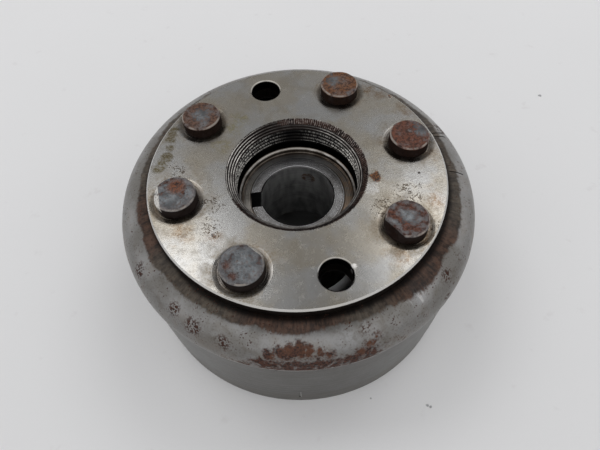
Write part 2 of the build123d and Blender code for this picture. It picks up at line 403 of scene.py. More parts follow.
# Specks on the sheet: places (x, y) and sizes
PAPER_SPECKS = (
    ((23.7, -42.9), 0.34),
    ((24.2, -43.3), 0.30),
    ((11.0, -39.6), 0.22),
    ((89.0, 49.0), 0.5),
)


def on_shoulder(degrees, height):
    """A place on the shoulder's round corner, in millimetres."""
    up = (height - (WEB_Z - SHOULDER_CORNER)) / SHOULDER_CORNER
    r = SHOULDER_R - SHOULDER_CORNER * (1 - math.sqrt(1 - up * up))
    return (*polar(r, degrees), height)


FRONT_RUST = [(on_shoulder(angle, height), size) for angle, height, size in FRONT_RUST_PARTS]


def flange_face(m, wide, mid, fine, speck):
    """Bare satin steel under an uneven warm film, with grit, dirt round the rivets and rust spots."""
    tone = m.step(m.plus(m.times(wide, 0.75), m.times(mid, 0.25)), 0.40, 0.60)
    colour = m.mix(tone, (0.410, 0.382, 0.332), (0.425, 0.422, 0.412))
    cloud = m.grain(5.5, 2.0, 0.5, bend=0.6)
    colour = m.tint(m.times(m.step(cloud, 0.48, 0.66), 0.6), colour, (0.78, 0.75, 0.70))
    flank = m.step(m.math("ABSOLUTE", m.x), 8.0, 20.0)
    dull = m.step(m.plus(m.times(speck, 0.5), m.times(fine, 0.5)), 0.44, 0.58)
    colour = m.tint(m.times(dull, m.blend(flank, 0.06, 0.24)), colour, (0.48, 0.44, 0.40))
    rough = m.plus(m.blend(cloud, 0.19, 0.30), m.times(m.step(fine, 0.5, 0.8), 0.08))

    # grit lies in some places only
    where = m.most(*(m.spot(place, size, 1.8, mid, 2.5) for place, size in GRIT))
    grit = m.plus(m.times(speck, 0.55), m.times(fine, 0.45))
    pits = m.step(grit, m.blend(where, 0.80, 0.52), m.blend(where, 0.84, 0.60))
    colour = m.tint(m.times(pits, 0.85), colour, (0.20, 0.155, 0.12))

    # olive scale along the left edge, a faint yellowish run near the mouth, and brown haze
    olive = m.most(*(m.spot(place, size, 0.5, mid, 2.0) for place, size in OLIVE_RUN))
    olive = m.times(olive, m.blend(m.step(grit, 0.43, 0.54), 0.55, 1.0))
    colour = m.tint(olive, colour, (0.42, 0.36, 0.23))
    pale = m.most(*(m.spot(place, 1.6, 1.6, mid, 3.0) for place in PALE_RUN))
    colour = m.tint(m.times(pale, m.step(fine, 0.35, 0.60), 0.8), colour, (0.80, 0.75, 0.50))
    haze = m.most(*(m.spot(place, size, 1.8, mid, 3.5) for place, size in BROWN_HAZE))
    haze = m.times(haze, m.blend(m.step(grit, 0.44, 0.56), 0.45, 1.0))
    colour = m.tint(haze, colour, (0.64, 0.49, 0.37))

    # brown dirt round each rivet, and a dark ring at its foot, partly dirt and partly painted contact
    # shade
    for place, dirt in zip(RIVET_PLACES, RIVET_DIRT):
        near = m.away_from(place)
        reach = SPOTFACE_R + 1.2 + 4.0 * dirt
        halo = m.times(m.step(near, reach, SPOTFACE_R - 0.8), m.step(mid, 0.40, 0.64))
        grimy = m.plus(0.45, m.times(m.step(speck, 0.45, 0.62), 0.4))
        colour = m.tint(m.times(halo, grimy), colour, (0.50, 0.40, 0.28))
        rough = m.plus(rough, m.times(halo, 0.12))
        foot = m.step(m.plus(near, m.times(m.math("SUBTRACT", mid, 0.5), 1.6)), 6.1, 4.6)
        colour = m.tint(m.times(foot, 0.85), colour, (0.24, 0.21, 0.19))

    # rust spots, a pinhole painted black as the shade in its pit, and a rubbed place beside the rust at
    # the mouth, brightened as painted glare
    rust = m.most(*(m.spot(place, size, 0.35, fine, 1.3) for place, size in FACE_RUST))
    rust_tone = m.mix(m.step(speck, 0.42, 0.62), (0.022, 0.010, 0.006), (0.17, 0.058, 0.010))
    colour = m.mix(rust, colour, rust_tone)
    rough = m.blend(rust, rough, 0.7)
    hole = m.spot(PINHOLE, 0.28, 0.12)
    colour = m.mix(hole, colour, (0.03, 0.022, 0.018))
    bright = m.spot(RUBBED_MOUTH_GLARE, 1.2, 0.7, fine, 2.0)
    colour = m.mix(m.times(bright, 0.5), colour, (0.66, 0.66, 0.66))

    height = m.plus(m.times(speck, m.blend(flank, 0.002, 0.007)), m.times(pits, -0.012))
    height = m.plus(height, m.times(fine, 0.003))
    height = m.plus(height, m.times(rust, m.times(speck, 0.08)))
    return colour, rough, m.less(rust), height


def hub_recess(m, mid, fine, speck):
    """The recess: black oil with bright thread crests, their brightness a painted highlight, a turned
    ledge, the seat and the taper, with painted light and shade.
    """
    oil = m.mix(m.step(mid, 0.45, 0.75), (0.005, 0.0045, 0.005), (0.018, 0.015, 0.013))
    crest = m.step(m.radius, THREAD_CREST_R + 0.26, THREAD_CREST_R + 0.10)
    crest = m.times(crest, m.step(m.z, THREAD_BOTTOM - 0.1, THREAD_BOTTOM))
    # painted highlights on the crests where they face 142 and 28 degrees
    lit = m.most(m.times(m.facing(142.0, 0.62, 0.92), 0.75), m.times(m.facing(28.0, 0.55, 0.92), 0.85))
    dots = m.step(m.streaks(0.45, 0.9, m.z), 0.43, 0.58)
    worn = m.times(crest, m.plus(m.times(lit, dots, 0.8), 0.02))
    colour = m.mix(worn, oil, (0.62, 0.60, 0.56))
    rough = m.blend(worn, 0.42, 0.30)

    # the floor below the relief: a dirty turned ring, the washer's seat, and a bright bevel round both,
    # its brightness a painted highlight
    floor = m.step(m.plus(m.z, m.radius), LEDGE_Z + LEDGE_R + 0.45, LEDGE_Z + LEDGE_R + 0.41)
    floor = m.times(floor, m.step(m.z, LEDGE_Z + 0.02, LEDGE_Z))
    turned = m.lines(m.radius, 0.30, 3.0)
    dirt = m.step(m.plus(m.times(turned, 0.5), m.times(mid, 0.5)), 0.40, 0.60)
    ring = m.mix(dirt, (0.120, 0.102, 0.086), (0.36, 0.34, 0.31))
    brown = m.times(m.facing(-5.0, 0.2, 0.9), m.step(mid, 0.40, 0.60))
    ring = m.tint(m.times(brown, 0.8), ring, (0.80, 0.58, 0.42))
    worn_seat = m.plus(m.times(turned, 0.35), m.times(mid, 0.35), m.times(speck, 0.3))
    seat = m.mix(m.step(worn_seat, 0.36, 0.62), (0.15, 0.14, 0.13), (0.36, 0.36, 0.365))
    on_seat = m.step(m.radius, SEAT_R + 0.05, SEAT_R - 0.10)
    below = m.mix(on_seat, ring, seat)
    # painted light: the floor is lighter on its far side
    far = m.times(m.facing(90.0, 0.3, 0.95), m.step(m.radius, LEDGE_R - 0.5, LEDGE_R - 0.9))
    below = m.mix(m.times(far, 0.5), below, (0.66, 0.66, 0.68))
    gap = m.between(m.radius, SEAT_R - 0.02, SEAT_R + 0.16, 0.08)
    below = m.tint(m.times(gap, m.step(mid, 0.30, 0.50), 0.8), below, (0.16, 0.13, 0.11))
    rim = m.step(m.radius, LEDGE_R - 0.12, LEDGE_R - 0.02)
    bevel = m.times(rim, m.between(m.z, LEDGE_Z - 0.38, LEDGE_Z - 0.14, 0.06))
    # the bevel's painted highlight, faint on the far side
    shine = m.times(m.step(mid, 0.30, 0.60), m.blend(m.facing(98.0, 0.60, 0.98), 0.75, 0.10))
    below = m.mix(m.times(bevel, shine), below, (0.60, 0.585, 0.56))
    lip = m.times(m.step(m.z, SEAT_Z - 0.02, SEAT_Z - 0.10), m.step(m.radius, SEAT_R - 0.5, SEAT_R - 1.0))
    below = m.tint(m.times(lip, 0.9), below, (0.16, 0.155, 0.15))
    # painted shade in the ledge's corner
    corner = m.times(m.step(m.radius, LEDGE_R - 0.55, LEDGE_R - 0.40), m.less(bevel))
    below = m.tint(m.times(corner, 0.85), below, (0.28, 0.24, 0.21))
    colour = m.mix(floor, colour, below)
    rough = m.blend(floor, rough, m.blend(on_seat, 0.36, 0.27))

    # the taper is oily, paler at its upper end and black further down; the darkening with depth and the
    # black keyway are painted shade
    bore = m.step(m.z, SEAT_Z - 0.25, SEAT_Z - 0.40)
    bore = m.times(bore, m.step(m.radius, LEDGE_R - 0.1, LEDGE_R - 0.3))
    smear = m.plus(m.times(m.streaks(6.0, 7.0, m.z), 0.45), m.times(m.lines(m.z, 0.6), 0.12))
    smear = m.step(m.plus(smear, m.times(m.grain(5.0, 3.0, bend=0.8), 0.43)), 0.36, 0.64)
    wall = m.mix(smear, (0.14, 0.14, 0.14), (0.38, 0.38, 0.375))
    # painted shade: darker further down the bore
    wall = m.tint(m.step(m.z, SEAT_Z - 9.0, SEAT_Z - 20.0), wall, (0.80, 0.80, 0.81))
    # painted shade: the keyway is made black
    keyway = m.plus(m.radius, m.times(m.z, TAPER_SLOPE))
    taper_wall = TAPER_R + SEAT_Z * TAPER_SLOPE
    keyway = m.step(keyway, taper_wall + 0.10, taper_wall + 0.30)
    wall = m.tint(keyway, wall, (0.06, 0.06, 0.06))
    spread = m.away_from(STAIN)
    stain = m.most(m.between(spread, 1.0, 1.5, 0.4), m.times(m.step(spread, 1.2, 0.6), 0.4))
    wall = m.tint(m.times(stain, m.step(fine, 0.36, 0.54)), wall, (0.42, 0.24, 0.16))
    colour = m.mix(bore, colour, wall)
    rough = m.blend(bore, rough, 0.38)
    metal = m.less(m.times(bore, 0.6))
    height = m.plus(m.times(turned, m.times(floor, 0.02)), m.times(speck, 0.010))
    return colour, rough, metal, height


def hub_finish():
    """Machined steel: the flange's worn face and dark side, the recess, and the oiled boss."""
    m = Finish("hub_steel")
    wide = m.grain(10.0, 3.0)
    mid = m.grain(2.8, 3.0, 0.6)
    fine = m.grain(0.9, 3.0, 0.6)
    speck = m.grain(0.30, 1.0)
    colour, rough, metal, height = flange_face(m, wide, mid, fine, speck)

    # the rim: bright chamfer, partly painted highlight, and a dark oily side
    side = m.step(m.z, FACE_Z - 0.30, FACE_Z - 0.50)
    side = m.times(side, m.step(m.radius, FLANGE_R - 0.30, FLANGE_R - 0.05))
    colour = m.mix(side, colour, m.mix(mid, (0.018, 0.014, 0.013), (0.085, 0.068, 0.060)))
    rough = m.blend(side, rough, 0.42)
    chamfer = m.times(m.step(m.radius, FLANGE_R - 0.40, FLANGE_R - 0.30), m.less(side))
    colour = m.mix(m.times(chamfer, 0.7), colour, (0.58, 0.57, 0.55))

    # the tool holes: walls painted black as shade, bright edges partly painted highlight, and a painted
    # glint on the near one's edge
    for angle in TOOL_HOLE_ANGLES:
        off = m.away_from(polar(TOOL_HOLE_CIRCLE, angle))
        wall = m.step(off, TOOL_HOLE_R + 0.12, TOOL_HOLE_R + 0.04)
        edge = m.between(off, TOOL_HOLE_R + 0.04, TOOL_HOLE_R + 0.18, 0.06)
        edge = m.times(edge, m.less(wall), m.step(mid, 0.30, 0.65), 0.7)
        colour = m.mix(edge, colour, (0.62, 0.61, 0.59))
        colour = m.mix(m.times(wall, 0.95), colour, (0.022, 0.020, 0.020))
    glint = m.spot(NEAR_HOLE_GLINT, 0.42, 0.25, fine, 0.5)
    colour = m.mix(glint, colour, (0.85, 0.83, 0.80))
    rough = m.blend(glint, rough, 0.45)

    inside = m.step(m.radius, MOUTH_R + 0.02, MOUTH_R - 0.10)
    recess_colour, recess_rough, recess_metal, recess_height = hub_recess(m, mid, fine, speck)
    colour = m.mix(inside, colour, recess_colour)
    rough = m.blend(inside, rough, recess_rough)
    metal = m.blend(inside, metal, recess_metal)
    height = m.blend(inside, height, recess_height)

    # the boss under the web is turned and oily
    boss = m.step(m.z, WEB_Z - 2.5, WEB_Z - 3.5)
    boss = m.times(boss, m.step(m.radius, MOUTH_R - 0.6, MOUTH_R - 0.3))
    boss = m.most(boss, m.step(m.z, BOSS_BOTTOM + 0.25, BOSS_BOTTOM + 0.1))
    turned = m.lines(m.plus(m.z, m.radius), 0.35, 2.0)
    streaky = m.step(m.plus(m.times(turned, 0.4), m.times(wide, 0.35), m.times(mid, 0.25)), 0.36, 0.64)
    oily = m.mix(streaky, (0.13, 0.11, 0.09), (0.36, 0.34, 0.31))
    colour = m.mix(boss, colour, oily)
    rough = m.blend(boss, rough, 0.36)
    metal = m.most(metal, boss)
    height = m.plus(height, m.times(boss, m.times(turned, 0.015)))
    return m.finish(colour, rough, metal, height)


def cup_finish():
    """Drawn steel with a thin skin of oxide, brown under the flange and rust-spotted below."""
    m = Finish("cup_steel")
    wide = m.grain(9.0, 3.0)
    mid = m.grain(2.4, 3.0, 0.65)
    fine = m.grain(0.8, 3.0, 0.6)
    speck = m.grain(0.36, 1.0)
    tone = m.step(m.plus(m.times(wide, 0.6), m.times(mid, 0.4)), 0.38, 0.62)
    colour = m.mix(tone, (0.180, 0.172, 0.160), (0.245, 0.245, 0.243))
    colour = m.tint(m.times(m.step(speck, 0.50, 0.70), 0.45), colour, (0.58, 0.54, 0.50))
    stains = m.grain(4.5, 3.0, 0.6, bend=0.8)
    stains = m.step(m.plus(m.times(stains, 0.7), m.times(fine, 0.3)), 0.48, 0.60)
    colour = m.tint(m.times(stains, 0.5), colour, (0.72, 0.66, 0.58))
    rough = m.blend(mid, 0.28, 0.40)
    shoulder = m.step(m.z, SKIRT_TOP - 0.05, SKIRT_TOP + 0.25)
    skirt = m.less(shoulder)

    # painted sheen on the shoulder: a lighter band high up, bright spots and a bright streak
    sheen_band = m.times(m.step(m.z, SKIRT_TOP + 4.2, SKIRT_TOP + 6.6), m.step(wide, 0.35, 0.65))
    colour = m.mix(m.times(sheen_band, 0.45), colour, (0.36, 0.36, 0.36))
    rubbed_sheen = m.most(*(m.spot(place, size, 1.6, mid, 1.5) for place, size in SHEEN_SPOTS))
    colour = m.mix(m.times(rubbed_sheen, m.step(fine, 0.30, 0.60), 0.32), colour, (0.44, 0.45, 0.47))
    bright_streak = m.step(m.streaks(0.5, 5.0, m.radius), 0.52, 0.62)
    bright_streak = m.times(m.spot(BRIGHT_STREAK, 1.5, 0.8, fine, 1.5), bright_streak, 0.6)
    colour = m.mix(bright_streak, colour, (0.58, 0.58, 0.58))

    # brown film in clouds, heavier low on the shoulder, where it also paints shade
    low = m.step(m.z, SKIRT_TOP + 5.0, SKIRT_TOP + 1.0)
    film = m.step(m.plus(m.times(wide, 0.5), m.times(mid, 0.5)), 0.46, 0.62)
    film = m.times(shoulder, film, m.plus(0.3, m.times(low, 0.5)))
    colour = m.tint(film, colour, (0.78, 0.66, 0.55))

    # dirt round the flange, ending in short radial runs, and black at the flange's foot, partly dirt and
    # partly painted shade under the flange
    runs = m.streaks(0.50, 3.0, m.radius)
    right = m.facing(-48.0, 0.90, 0.99)
    reach = m.plus(m.plus(m.times(runs, 0.8), m.times(wide, 3.2)), m.times(mid, 1.6))
    reach = m.plus(reach, m.times(right, 0.8))
    edge = m.math("SUBTRACT", m.radius, reach)
    on_web = m.step(m.z, WEB_Z - 3.4, WEB_Z - 2.0)
    dirt = m.times(m.step(edge, FLANGE_R + 0.45, FLANGE_R - 0.25), on_web)
    red = m.most(m.facing(-100.0, 0.93, 0.985), right, m.facing(-168.0, 0.95, 0.99))
    layers = m.step(m.plus(m.times(mid, 0.4), m.times(fine, 0.25), m.times(runs, 0.35)), 0.36, 0.64)
    olive = m.mix(layers, (0.026, 0.020, 0.016), (0.105, 0.086, 0.066))
    reddish = m.mix(layers, (0.014, 0.008, 0.006), (0.096, 0.052, 0.035))
    colour = m.mix(m.times(dirt, 0.92), colour, m.mix(red, olive, reddish))
    # painted shade under the flange's overhang, wider on the left
    left = m.facing(-160.0, 0.88, 0.98)
    foot = m.step(m.plus(m.radius, m.times(left, 0.7)), FLANGE_R + 1.7, FLANGE_R + 0.5)
    foot = m.times(foot, on_web)
    colour = m.tint(m.times(foot, 0.93), colour, (0.05, 0.04, 0.04))
    rough = m.blend(dirt, rough, 0.55)
    metal = m.less(m.times(dirt, 0.6))

    # rust: two ragged patches in front, a band low on the shoulder, clusters of specks and strays
    ragged = m.plus(m.times(mid, 0.55), m.times(fine, 0.45))
    front = m.most(*(m.spot(place, size, 0.5, ragged, 3.0) for place, size in FRONT_RUST))
    band = m.between(m.z, SKIRT_TOP + 0.2, SKIRT_TOP + 2.8, 2.2)
    share = m.blend(m.facing(-93.0, 0.90, 0.975), 0.66, 0.43)
    share = m.plus(share, m.times(m.less(band), 0.18))
    patches = m.step(m.math("SUBTRACT", ragged, share), -0.09, 0.10)
    patches = m.times(m.step(band, 0.0, 0.1), patches)
    spots = m.most(*(m.spot(place, size, 0.7, mid, 1.0) for place, size in SHOULDER_SPECKS))
    specks = m.times(spots, m.step(m.plus(m.times(speck, 0.5), m.times(fine, 0.5)), 0.47, 0.53))
    stray = m.times(m.step(speck, 0.64, 0.70), m.step(mid, 0.44, 0.58))
    rust = m.most(m.times(front, shoulder), patches, m.times(m.most(specks, stray), shoulder))
    rust_tone = m.mix(m.step(speck, 0.34, 0.66), (0.014, 0.006, 0.005), (0.080, 0.029, 0.018))
    rust_tone = m.mix(m.times(front, m.step(mid, 0.35, 0.65), 0.5), rust_tone, (0.15, 0.058, 0.024))
    rust_tone = m.tint(m.times(m.most(specks, stray), 0.8), rust_tone, (0.55, 0.50, 0.50))
    colour = m.mix(m.times(rust, 0.92), colour, rust_tone)
    rough = m.blend(rust, rough, 0.75)
    metal = m.times(metal, m.less(m.times(rust, 0.85)))

    # the turned skirt: fine lines, a browner band with scored lines at the rim, the short mark's
    # bright burr, and the bright line at the step
    turned = m.plus(m.times(m.lines(m.z, 0.30, 3.0), 0.4), m.times(m.lines(m.z, 0.95, 2.0), 0.6))
    colour = m.tint(skirt, colour, (0.53, 0.52, 0.49))
    colour = m.tint(m.times(skirt, m.step(turned, 0.53, 0.45), 0.7), colour, (0.58, 0.57, 0.54))
    rim_band = m.times(skirt, m.step(m.z, BAND_TOP + 0.1, BAND_TOP - 0.2))
    colour = m.tint(m.times(rim_band, 0.9), colour, (0.80, 0.73, 0.62))
    line = m.between(m.z, BAND_TOP - 0.70, BAND_TOP - 0.05, 0.15)
    scores = m.between(m.z, BAND_TOP + 0.9, BAND_TOP + 1.3, 0.15)
    scores = m.most(scores, m.between(m.z, BAND_TOP + 2.6, BAND_TOP + 2.9, 0.15))
    line = m.most(line, m.times(scores, m.facing(-122.0, 0.80, 0.95)))
    colour = m.tint(m.times(line, m.blend(mid, 0.5, 1.0)), colour, (0.30, 0.26, 0.22))
    burr = m.facing(RIM_MARK_ANGLE, 0.99999, 0.999997)
    burr = m.times(burr, m.between(m.z, *RIM_MARK_Z, 0.2), skirt)
    colour = m.mix(m.times(burr, 0.5), colour, (0.50, 0.49, 0.47))
    # a worn edge at the step, with a painted highlight
    bevel = m.between(m.z, SKIRT_TOP + 0.20, SKIRT_TOP + 0.42, 0.06)
    colour = m.mix(m.times(bevel, m.step(mid, 0.30, 0.60)), colour, (0.42, 0.41, 0.39))
    height = m.plus(m.times(fine, 0.008), m.times(skirt, m.times(turned, 0.012)))
    height = m.plus(height, m.times(rust, m.times(speck, 0.06)))
    return m.finish(colour, rough, metal, height, m.blend(m.most(rust, dirt), 0.5, 0.12))


def rivet_finish(number, place):
    """A soft steel head with rust in ragged patches and bare, bluish steel between them."""
    m = Finish(f"rivet_steel_{number}")
    mid = m.grain(2.2, 3.0, 0.6)
    fine = m.grain(0.7, 3.0, 0.65)
    speck = m.grain(0.28, 1.0)
    limit, soft, bright_rust, edge_rust = RIVET_RUST[number - 1]
    ragged = m.plus(m.times(mid, 0.55), m.times(fine, 0.45))
    rust = m.step(ragged, limit + soft, limit - soft)
    for at, (x, y), size, rusty in RIVET_PATCHES:
        if at == number:
            patch = m.spot((place[0] + x, place[1] + y), size, 0.7, fine, 2.2)
            rust = m.blend(m.times(patch, 0.9), rust, rusty)
    rim = m.step(m.away_from(place), 2.7, 3.8)
    rust = m.most(rust, m.times(rim, edge_rust, m.step(fine, 0.62, 0.42)))
    steel = m.mix(m.step(mid, 0.34, 0.64), (0.090, 0.098, 0.104), (0.215, 0.232, 0.245))
    steel = m.tint(m.times(m.step(m.grain(0.55, 2.0), 0.44, 0.60), 0.6), steel, (0.55, 0.53, 0.53))
    brown = m.times(m.step(fine, 0.44, 0.66), m.step(mid, 0.38, 0.58), 0.6)
    steel = m.mix(brown, steel, (0.100, 0.066, 0.052))

    rust_tone = m.mix(m.step(fine, 0.34, 0.60), (0.040, 0.018, 0.012), bright_rust)
    rust_tone = m.tint(m.times(m.step(speck, 0.58, 0.40), 0.4), rust_tone, (0.50, 0.42, 0.38))
    colour = m.mix(m.times(rust, 0.93), steel, rust_tone)
    colour = m.tint(m.times(m.step(speck, 0.68, 0.76), 0.8), colour, (0.25, 0.2, 0.2))

    # a paler lip round the head, partly a painted highlight, its dark side, partly painted shade, and the
    # bright flats in the side
    lip = m.step(m.z, RIVET_TOP - 0.35, RIVET_TOP - 0.22)
    lip = m.times(m.step(m.away_from(place), 3.82, 3.98), lip)
    colour = m.mix(m.times(lip, m.step(mid, 0.58, 0.42), 0.8), colour, (0.33, 0.30, 0.27))
    side = m.step(m.z, RIVET_TOP - 0.30, RIVET_TOP - 0.48)
    side = m.times(side, m.step(m.z, WEB_Z - 4.0, WEB_Z - 2.0))
    flat = 0.0
    for at, angle, start, _, bright in RIVET_FLATS:
        if at == number and bright:
            cut = m.step(m.along(place, angle), start - 0.02, start + 0.12)
            flat = m.most(flat, m.times(cut, m.step(m.z, FACE_Z + 0.9, FACE_Z + 1.3)))
    side = m.times(side, m.less(flat))
    colour = m.mix(m.times(side, 0.95), colour, m.mix(mid, (0.004, 0.003, 0.003), (0.022, 0.013, 0.010)))
    colour = m.mix(m.times(flat, m.step(fine, 0.30, 0.55), 0.9), colour, (0.72, 0.70, 0.66))
    rough = m.blend(m.most(rust, side), m.blend(mid, 0.34, 0.46), 0.75)
    metal = m.less(m.most(m.times(rust, 0.85), m.times(side, 0.85)))
    height = m.plus(m.times(fine, 0.03), m.times(rust, m.times(speck, 0.06)))
    return m.finish(colour, rough, metal, height, m.blend(side, 0.25, 0.04))


def hidden_finish(name, dark, light, rough, metal, size, height):
    """Pieces inside the cup: mottled, with fine grain and a little brown dust."""
    m = Finish(name)
    tone = m.step(m.grain(size, 3.0, 0.6), 0.30, 0.70)
    colour = m.mix(tone, dark, light)
    colour = m.tint(m.times(m.step(m.grain(0.5, 2.0), 0.45, 0.65), 0.5), colour, (0.68, 0.66, 0.63))
    dust = m.step(m.plus(m.times(m.grain(6.0, 3.0), 0.6), m.times(tone, 0.25)), 0.40, 0.60)
    colour = m.tint(m.times(dust, 0.6), colour, (0.70, 0.60, 0.50))
    return m.finish(colour, m.blend(tone, rough, rough + 0.1), metal, m.times(tone, height))


def paper_finish():
    """A sheet of pale paper with faint clouds, smudges, a few specks and painted shade under the bore."""
    m = Finish("paper")
    cloud = m.grain(60.0, 3.0)
    fibre = m.grain(0.8, 2.0)
    colour = m.mix(cloud, (0.800, 0.800, 0.803), (0.832, 0.832, 0.837))
    smudge = m.times(m.step(m.grain(7.0, 3.0, 0.65), 0.64, 0.74), 0.35)
    colour = m.tint(smudge, colour, (0.86, 0.84, 0.84))
    # painted shade on the sheet under the bore
    colour = m.tint(m.spot(SHADE_UNDER_BORE, 8.0, 3.0), colour, (0.22, 0.22, 0.22))
    specks = m.most(*(m.spot(place, size, 0.12, fibre, 0.5) for place, size in PAPER_SPECKS))
    colour = m.tint(m.times(specks, 0.75), colour, (0.25, 0.25, 0.26))
    return m.finish(colour, 0.7, 0.0, m.times(fibre, 0.02))


# For each kind of hidden piece: the finish's name, dark and light colour, roughness, metal, size of
# the mottling and its height
HIDDEN_KINDS = {
    "magnet": ("ferrite", (0.018, 0.018, 0.019), (0.045, 0.045, 0.047), 0.5, 0.0, 1.4, 0.02),
    "magnet_spacer": ("moulded_plastic", (0.02, 0.02, 0.02), (0.035, 0.033, 0.03), 0.5, 0.0, 0.8, 0.01),
    "magnet_liner": ("liner_steel", (0.30, 0.30, 0.29), (0.50, 0.50, 0.49), 0.30, 1.0, 2.4, 0.006),
    "backing_ring": ("moulded_ring", (0.02, 0.02, 0.02), (0.035, 0.033, 0.03), 0.5, 0.0, 0.8, 0.01),
    "resin_bead": ("resin", (0.05, 0.02, 0.012), (0.09, 0.04, 0.02), 0.2, 0.0, 2.5, 0.05),
}
FINISHES = {"hub": hub_finish(), "rotor_cup": cup_finish()}
FINISHES.update({kind: hidden_finish(*values) for kind, values in HIDDEN_KINDS.items()})


def finish_nodes():
    """Every CAD node but the rivets gets the finish of its kind."""
    for name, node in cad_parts.items():
        kind = name.rstrip("0123456789").rstrip("_")
        if kind in FINISHES:
            node.data.materials.clear()
            node.data.materials.append(FINISHES[kind])


def ring_mesh(name, centre, loops):
    """A closed mesh from loops of points, each loop the same number of points. With a centre, a fan
    closes the first and the last loop. Without one, the last loop joins the first, as in a ring."""
    mesh = bpy.data.meshes.new(name)
    build = bmesh.new()
    rows = [[build.verts.new(point) for point in loop] for loop in loops]
    count = len(rows[0])
    for lower, upper in zip(rows, rows[1:]):
        for i in range(count):
            j = (i + 1) % count
            build.faces.new((lower[i], lower[j], upper[j], upper[i]))
    if centre is not None:
        for row, flip in ((rows[0], True), (rows[-1], False)):
            height = sum(v.co.z for v in row) / count
            middle = build.verts.new((*centre, height))
            for i in range(count):
                pair = (row[i], row[(i + 1) % count])
                build.faces.new((*(reversed(pair) if flip else pair), middle))
    else:
        for i in range(count):
            j = (i + 1) % count
            build.faces.new((rows[-1][i], rows[-1][j], rows[0][j], rows[0][i]))
    bmesh.ops.recalc_face_normals(build, faces=build.faces)
    build.to_mesh(mesh)
    build.free()
    mesh.polygons.foreach_set("use_smooth", [True] * len(mesh.polygons))
    mesh.set_sharp_from_angle(angle=SHARP_FROM)
    piece = bpy.data.objects.new(name, mesh)
    scene.collection.objects.link(piece)
    return piece


def dress(piece, finish):
    """Gives a piece its finish and fixes it to the flywheel's one body."""
    piece.data.materials.append(finish)
    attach(piece, "root")


def rough_at(x, y, z, size, seed):
    """Smooth noise from -1 to 1 at a place in millimetres, with features about size across. The
    seed picks the stretch of noise."""
    return noise.noise(Vector((x / size + 13.1 * seed, y / size - 7.7 * seed, z / size)))


def rivet_profile():
    """Radius and height of each loop round a rivet, from its formed head up to the middle of its
    flat head, with the part of the rivet that the loop belongs to."""
    formed_r, formed_round, shank_r, head_r, bevel = 4.3, 1.2, 2.5, 4.2, 0.3
    foot, web_inside, top = WEB_Z - 5.0, WEB_Z - 3.0, RIVET_TOP
    turns = [(r, foot, "foot") for r in (0.6, 1.4, 2.2, formed_r - formed_round)]
    for step in range(1, 7):
        a = math.radians(15.0 * step)
        r = formed_r - formed_round * (1 - math.sin(a))
        turns.append((r, foot + formed_round * (1 - math.cos(a)), "foot"))
    turns += [(formed_r, web_inside - 0.3, "foot"), (formed_r, web_inside, "plain")]
    turns += [(shank_r, web_inside, "plain"), (shank_r, SPOTFACE_Z, "plain")]
    turns += [(head_r, SPOTFACE_Z, "plain")]
    levels = 9
    side_top = top - bevel
    for step in range(1, levels + 1):
        turns.append((head_r, SPOTFACE_Z + (side_top - SPOTFACE_Z) * step / levels, "side"))
    for step in range(1, 4):
        turns.append((head_r - bevel * step / 3, side_top + bevel * step / 3, "bevel"))
    flat_r = head_r - bevel
    rings = 16
    turns += [(flat_r * (1 - step / rings), top, "top") for step in range(1, rings)]
    return turns


def make_rivet(number, name):
    """A rivet with a worn head: dished and pitted top, uneven bevel, and flats in its rim."""
    x0, y0 = RIVET_PLACES[number - 1]
    flats = [
        (polar(1.0, angle), start, slope)
        for at, angle, start, slope, _ in RIVET_FLATS
        if at == number
    ]
    count = 144
    loops = []
    for r, z, kind in rivet_profile():
        loop = []
        for i in range(count):
            angle = 2 * math.pi * i / count
            radius, height = r, z
            x, y = r * math.cos(angle), r * math.sin(angle)
            if kind == "top":
                dish = -DISH_DEPTH * (1 - (r / DISH_R) ** 2)
                pits = 0.045 * rough_at(x, y, 0, 1.5, number) + 0.03 * rough_at(x, y, 0, 0.5, number)
                height += dish + pits
            elif kind == "bevel":
                worn = 0.05 * rough_at(math.cos(angle) * 4, math.sin(angle) * 4, 0, 1.3, number + 7)
                radius += worn
                height += worn
            elif kind == "side":
                radius += 0.03 * rough_at(x, y, z, 1.0, number) + 0.012 * math.sin(z * 19.0)
            elif kind == "foot":
                radius += 0.06 * rough_at(x, y, z, 1.6, number + 3)
                height += 0.05 * rough_at(x, y, z, 1.2, number + 5) * (z < WEB_Z - 3.4)
            x, y = radius * math.cos(angle), radius * math.sin(angle)
            if z > SPOTFACE_Z:
                for (along_x, along_y), start, slope in flats:
                    off = x * along_x + y * along_y - start
                    waver = 0.12 * rough_at(x, y, 0, 0.9, number + 11)
                    height = min(height, RIVET_TOP - slope * (off + waver))
            loop.append(((x0 + x) / MM, (y0 + y) / MM, height / MM))
        loops.append(loop)
    piece = ring_mesh(f"rivet_head_{number}", (x0 / MM, y0 / MM), loops)
    dress(piece, rivet_finish(number, (x0, y0)))
    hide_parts(name)


def threaded_share(angle):
    """1 where the mouth's edge shows the thread instead of torn ridges, fading to 0 from 41 to 60
    degrees on either side of THREADED_TO."""
    share = (math.cos(angle - math.radians(THREADED_TO)) - 0.50) / 0.25
    return min(1.0, max(0.0, share))


